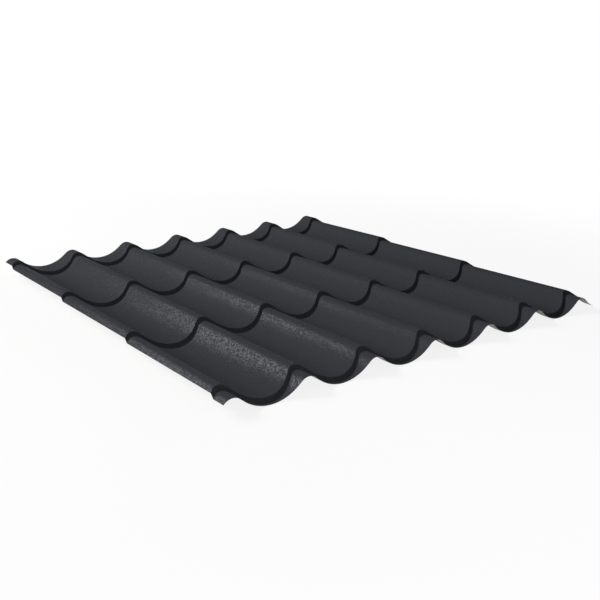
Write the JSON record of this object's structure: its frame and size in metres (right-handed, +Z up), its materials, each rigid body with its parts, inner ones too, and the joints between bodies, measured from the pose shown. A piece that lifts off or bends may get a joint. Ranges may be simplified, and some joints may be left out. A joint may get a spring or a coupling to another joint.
{
  "type": "tile effect metal roofing sheet",
  "caption": "Tile effect metal roofing sheet: one coated steel sheet with waves across it and pressed tile steps along it, matt anthracite on top and pale grey beneath.",
  "frame": {"origin": "bottom centre of the sheet's box, on the plane that the troughs rest on", "axes": "+X across the waves, +Y up the roof from the eaves end to the ridge end, +Z up"},
  "size_m": [1.125, 1.1434, 0.044],
  "materials": {
    "coated_steel": "matt, finely textured"
  },
  "bodies": {
    "root": {"tile_sheet": "coated_steel"}
  },
  "joints": []
}
